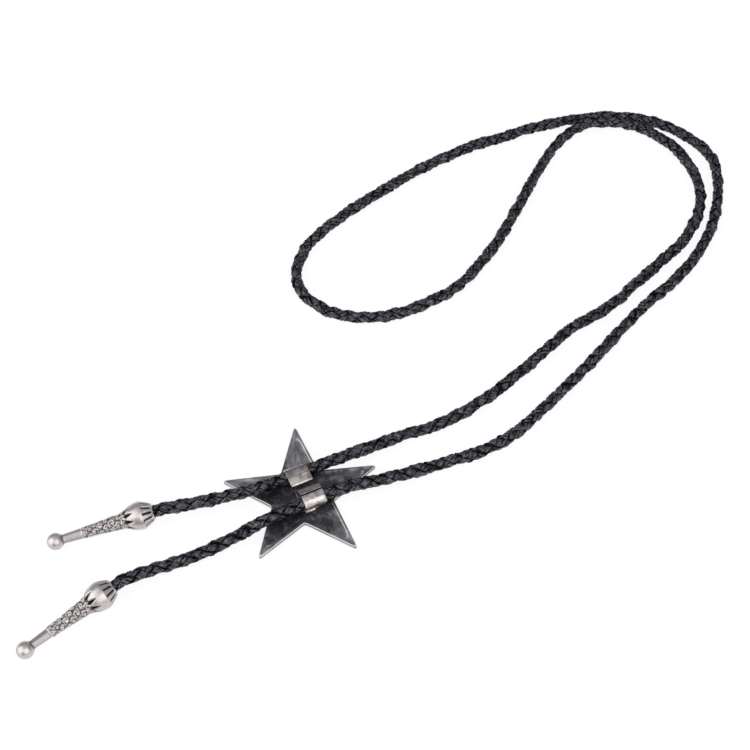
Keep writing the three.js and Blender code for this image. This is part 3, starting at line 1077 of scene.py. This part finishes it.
# %% The pewter's colours and its cast skin
streak_tone = add_node(
    pewter, "MapRange", {"Value": streaks.outputs["Fac"], "From Min": 0.35, "From Max": 0.65}
).outputs[0]
tone = add_node(
    pewter,
    "Mix",
    {"Factor": streak_tone, "A": linear("626165"), "B": linear("a09fa1")},
    data_type="RGBA",
).outputs["Result"]
back_colour = add_node(
    pewter, "Mix", {"Factor": paleness_outwards, "A": linear("414046"), "B": tone}, data_type="RGBA"
).outputs["Result"]
# painted highlight on the star's wall and bevels
colour = add_node(
    pewter, "Mix", {"Factor": painted_light, "A": back_colour, "B": linear("d6d6d2")}, data_type="RGBA"
).outputs["Result"]
# below 0, the painted light is a thin line of painted shade
painted_shade_lines = add_node(pewter, "Math", {0: painted_light, 1: -1.0}, operation="MULTIPLY").outputs[0]
colour = add_node(
    pewter, "Mix", {"Factor": painted_shade_lines, "A": colour, "B": linear("151416")}, data_type="RGBA"
).outputs["Result"]
roughness = add_node(
    pewter, "MapRange", {"Value": mottle.outputs["Fac"], "To Min": 0.28, "To Max": 0.55}
).outputs[0]
mottle_bump = add_node(
    pewter, "Bump", {"Height": mottle.outputs["Fac"], "Strength": 0.6, "Distance": 0.25 * MM}
)
skin_bump = add_node(
    pewter,
    "Bump",
    {
        "Height": cast_skin.outputs["Fac"],
        "Strength": 0.4,
        "Distance": 0.05 * MM,
        "Normal": mottle_bump.outputs[0],
    },
)
connect(pewter, colour, shader.inputs["Base Color"])
connect(pewter, roughness, shader.inputs["Roughness"])
connect(pewter, skin_bump.outputs[0], shader.inputs["Normal"])
shader.inputs["Metallic"].default_value = 0.85
star_plate.data.materials.append(pewter)
print("made", pewter.name)

# %% [markdown]
# The clasp is nickel sheet, brushed the way the cord runs. Fine lines like these spread a
# highlight out across themselves. Drawn lines would have to be unwrapped round the bends, so
# we stretch a fine noise along Y instead, and it lies right on every side.

# %% Brushed nickel sheet
nickel, shader = new_material("brushed_nickel_sheet")
position = add_node(nickel, "TexCoord").outputs["Object"]
brush_place = add_node(
    nickel,
    "VectorMath",
    {0: position, 1: (per_metre(0.35), per_metre(5.0), per_metre(0.35))},
    operation="MULTIPLY",
).outputs[0]
brushing = add_node(nickel, "TexNoise", {"Vector": brush_place, "Scale": 1.0, "Detail": 3.0})
tarnish = add_node(nickel, "TexNoise", {"Vector": position, "Scale": per_metre(2.2), "Detail": 4.0})
clouding = add_node(
    nickel, "MapRange", {"Value": tarnish.outputs["Fac"], "From Min": 0.35, "From Max": 0.65}
).outputs[0]
colour = add_node(
    nickel,
    "Mix",
    {"Factor": clouding, "A": linear("968f8b"), "B": linear("d7d1cb")},
    data_type="RGBA",
).outputs["Result"]
clasp_painted_shade = add_node(nickel, "Attribute", attribute_name="clasp_painted_shade").outputs["Fac"]
# painted shade on the clasp, mixed towards a dim mauve-grey
colour = add_node(
    nickel, "Mix", {"Factor": clasp_painted_shade, "A": colour, "B": linear("625d66")}, data_type="RGBA"
).outputs["Result"]
roughness = add_node(
    nickel, "MapRange", {"Value": brushing.outputs["Fac"], "To Min": 0.18, "To Max": 0.42}
).outputs[0]
brush_bump = add_node(
    nickel, "Bump", {"Height": brushing.outputs["Fac"], "Strength": 0.3, "Distance": 0.03 * MM}
)
connect(nickel, colour, shader.inputs["Base Color"])
connect(nickel, roughness, shader.inputs["Roughness"])
connect(nickel, brush_bump.outputs[0], shader.inputs["Normal"])
shader.inputs["Metallic"].default_value = 1.0
for piece in clasp:
    piece.data.materials.append(nickel)
print("made", nickel.name)

# %% [markdown]
# The tips are white metal, silvered, blackened and rubbed, so their carving stands out bright
# on a dark ground. The hollows could be found again from the mesh's shape, but the carving
# wrote down how dark each place is. That one number mixes the colour and dulls the shine.
# It also carries painted shade on the neck's facets, along their corners and where the neck
# meets the ball.

# %% Antique silver casting
silver, shader = new_material("antique_silver_casting")
position = add_node(silver, "TexCoord").outputs["Object"]
patina_and_shade = add_node(silver, "Attribute", attribute_name="patina_and_shade").outputs["Fac"]
cloud = add_node(silver, "TexNoise", {"Vector": position, "Scale": per_metre(2.5), "Detail": 4.0})
pits = add_node(silver, "TexNoise", {"Vector": position, "Scale": per_metre(0.4), "Detail": 3.0})
# the rubbed silver, shown where neither patina nor painted shade darkens it
rubbed_and_unshaded = add_node(
    silver,
    "Mix",
    {"Factor": cloud.outputs["Fac"], "A": linear("b3aeaf"), "B": linear("d6d1cc")},
    data_type="RGBA",
).outputs["Result"]
dark = add_node(
    silver, "MapRange", {"Value": patina_and_shade, "From Min": 0.15, "From Max": 1.0}
).outputs[0]
colour = add_node(
    silver, "Mix", {"Factor": dark, "A": rubbed_and_unshaded, "B": linear("221c1b")}, data_type="RGBA"
).outputs["Result"]
roughness = add_node(silver, "MapRange", {"Value": dark, "To Min": 0.36, "To Max": 0.6}).outputs[0]
pit_bump = add_node(
    silver, "Bump", {"Height": pits.outputs["Fac"], "Strength": 0.35, "Distance": 0.04 * MM}
)
connect(silver, colour, shader.inputs["Base Color"])
connect(silver, roughness, shader.inputs["Roughness"])
connect(silver, pit_bump.outputs[0], shader.inputs["Normal"])
shader.inputs["Metallic"].default_value = 1.0
for piece in tips:
    piece.data.materials.append(silver)
print("made", silver.name)

# %% [markdown]
# ## The table and the light
#
# Small shiny goods are often laid on a light table, a sheet of opal acrylic that glows from
# below, so that they cast hardly any shadow. Above it stand plain softboxes. A polished
# surface shows only what it mirrors, so a wide softbox to the left and another behind the
# camera's right shoulder give each round form two highlights with a darker band between.

# %% Light table
TABLE_REACH = 3.0  # metres from its middle to its sides, past all that the camera sees

table_bm = bmesh.new()
bmesh.ops.create_grid(table_bm, x_segments=1, y_segments=1, size=TABLE_REACH)
table_mesh = bpy.data.meshes.new("light_table")
table_bm.to_mesh(table_mesh)
table_bm.free()
table = bpy.data.objects.new("light_table", table_mesh)
bpy.context.collection.objects.link(table)
opal, shader = new_material("matt_opal_acrylic")
shader.inputs["Base Color"].default_value = linear("6c6c6c")
shader.inputs["Roughness"].default_value = 0.9
shader.inputs["Specular IOR Level"].default_value = 0.0
shader.inputs["Emission Color"].default_value = linear("ffffff")
shader.inputs["Emission Strength"].default_value = 0.88
table.data.materials.append(opal)
print("made", opal.name)

# %% Softboxes
LIGHTS = [  # name, direction from the tie, distance, width and height, watts
    ("softbox_right", (0.755, 0.104, 0.646), 0.9, (1.0, 1.0), 4.4),
    ("softbox_left", (-0.041, -0.883, 0.466), 0.9, (1.1, 1.3), 6.2),
]
for name, direction, distance, size, watts in LIGHTS:
    lamp = bpy.data.lights.new(name, "AREA")
    lamp.shape = "RECTANGLE"
    lamp.size, lamp.size_y = size
    lamp.energy = watts
    holder = bpy.data.objects.new(name, lamp)
    toward = Vector(direction).normalized()
    holder.location = CAMERA_TARGET + toward * distance
    holder.rotation_euler = toward.to_track_quat("Z", "Y").to_euler()
    bpy.context.collection.objects.link(holder)
    print(name, "watts:", watts)

# %% The dim studio around them
world = bpy.data.worlds.new("studio")
world.use_nodes = True
background = world.node_tree.nodes["Background"]
direction = add_node(world, "TexCoord").outputs["Generated"]
height = add_node(world, "SeparateXYZ", {0: direction}).outputs["Z"]
upward = add_node(world, "Math", {0: height, 1: 2.5}, operation="POWER", use_clamp=True).outputs[0]
ceiling = add_node(world, "MapRange", {"Value": upward, "To Min": 0.32, "To Max": 0.78}).outputs[0]
connect(world, ceiling, background.inputs["Strength"])
background.inputs["Color"].default_value = linear("fbf9ff")
bpy.context.scene.world = world
bpy.context.scene.view_settings.view_transform = "Standard"
print("made", world.name)
